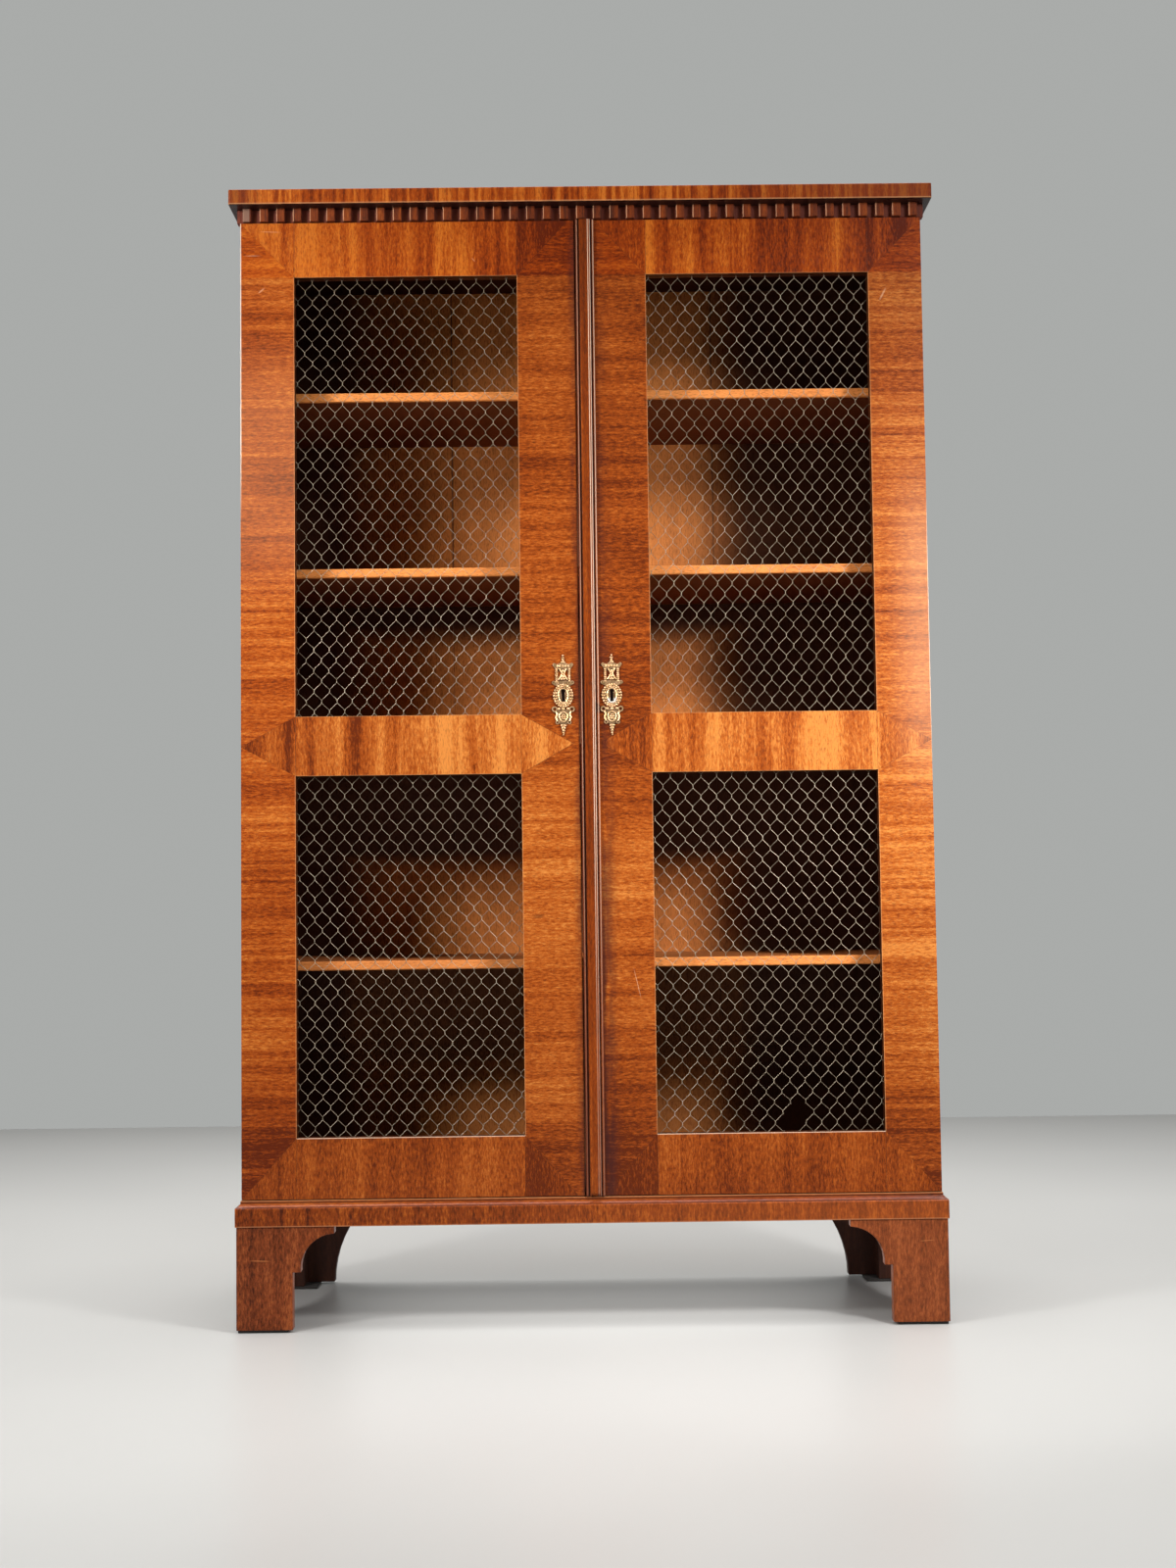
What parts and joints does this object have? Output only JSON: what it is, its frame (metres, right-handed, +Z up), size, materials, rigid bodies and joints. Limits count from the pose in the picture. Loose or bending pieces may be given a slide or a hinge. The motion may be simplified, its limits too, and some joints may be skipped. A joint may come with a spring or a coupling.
{
  "type": "display cabinet",
  "caption": "Tall two-door mahogany display cabinet with wire-netting door panels, loose shelves, dentil cornice and bracket feet, for showing books or china.",
  "frame": {"origin": "on the floor, under the middle of the cabinet's box", "axes": "+Z up, +X to the right seen from the front, +Y to the back; the doors face -Y"},
  "size_m": [1.162, 0.421, 1.863],
  "materials": {
    "mahogany": "French-polished crossband veneer",
    "dentil_mahogany": "polished",
    "foot_mahogany": "polished, dark",
    "carcass_wood": "matte, aged",
    "shelf_wood": "matte",
    "netting_wire": "dull drawn wire",
    "gilt_brass": "cast and gilt",
    "plain_brass": "drawn, aged",
    "lock_steel": "filed",
    "pad_rubber": "matte"
  },
  "bodies": {
    "cabinet": {"left_side": "carcass_wood", "right_side": "carcass_wood", "carcass_top": "carcass_wood", "carcass_bottom": "carcass_wood", "back_boards": "carcass_wood", "cornice_board": "mahogany", "frieze_rail": "mahogany", "front_dentils": "dentil_mahogany", "side_dentils": "dentil_mahogany", "base_rail_front": "mahogany", "base_rail_left": "mahogany", "base_rail_right": "mahogany", "base_moulding_front": "mahogany", "base_moulding_left": "mahogany", "base_moulding_right": "mahogany", "foot_front_left": "foot_mahogany", "foot_front_right": "foot_mahogany", "foot_side_front_left": "foot_mahogany", "foot_side_front_right": "foot_mahogany", "foot_side_rear_left": "foot_mahogany", "foot_side_rear_right": "foot_mahogany", "foot_rear_left": "foot_mahogany", "foot_rear_right": "foot_mahogany", "foot_blocks": "foot_mahogany", "foot_pads": "pad_rubber", "shelf_pegs": "plain_brass", "pivot_sockets": "plain_brass"},
    "left_door": {"left_hinge_stile": "mahogany", "left_meeting_stile": "mahogany", "left_top_rail": "mahogany", "left_middle_rail": "mahogany", "left_bottom_rail": "mahogany", "left_upper_netting": "netting_wire", "left_lower_netting": "netting_wire", "left_netting_beads": "mahogany", "left_door_pivots": "plain_brass", "left_escutcheon": "gilt_brass", "bolt_guides": "plain_brass", "bolt_screws": "plain_brass"},
    "right_door": {"right_hinge_stile": "mahogany", "right_meeting_stile": "mahogany", "right_top_rail": "mahogany", "right_middle_rail": "mahogany", "right_bottom_rail": "mahogany", "right_upper_netting": "netting_wire", "right_lower_netting": "netting_wire", "right_netting_beads": "mahogany", "right_door_pivots": "plain_brass", "right_escutcheon": "gilt_brass", "astragal": "mahogany", "lock_case": "lock_steel", "lock_screws": "plain_brass"},
    "top_bolt": {"top_bolt": "plain_brass"},
    "bottom_bolt": {"bottom_bolt": "plain_brass"},
    "lock_bolt": {"lock_bolt": "lock_steel"},
    "shelf_1": {"shelf_1": "shelf_wood"},
    "shelf_2": {"shelf_2": "shelf_wood"},
    "shelf_3": {"shelf_3": "shelf_wood"},
    "shelf_4": {"shelf_4": "shelf_wood"}
  },
  "joints": [
    {"name": "left_door_swing", "type": "hinge", "parent": "cabinet", "child": "left_door", "pos_m": [-0.5585, -0.1745, 1], "axis": [0, 0, -1], "range_deg": [0, 110]},
    {"name": "right_door_swing", "type": "hinge", "parent": "cabinet", "child": "right_door", "pos_m": [0.5585, -0.1745, 1], "axis": [0, 0, 1], "range_deg": [0, 110]},
    {"name": "top_bolt_slide", "type": "slide", "parent": "left_door", "child": "top_bolt", "axis": [0, 0, 1], "range_m": [0, 0.014]},
    {"name": "bottom_bolt_slide", "type": "slide", "parent": "left_door", "child": "bottom_bolt", "axis": [0, 0, -1], "range_m": [0, 0.014]},
    {"name": "lock_bolt_slide", "type": "slide", "parent": "right_door", "child": "lock_bolt", "axis": [-1, 0, 0], "range_m": [0, 0.01]},
    {"name": "shelf_1_lift", "type": "slide", "parent": "cabinet", "child": "shelf_1", "axis": [0, 0, 1], "range_m": [0, 0.03]},
    {"name": "shelf_2_lift", "type": "slide", "parent": "cabinet", "child": "shelf_2", "axis": [0, 0, 1], "range_m": [0, 0.03]},
    {"name": "shelf_3_lift", "type": "slide", "parent": "cabinet", "child": "shelf_3", "axis": [0, 0, 1], "range_m": [0, 0.03]},
    {"name": "shelf_4_lift", "type": "slide", "parent": "cabinet", "child": "shelf_4", "axis": [0, 0, 1], "range_m": [0, 0.03]}
  ]
}
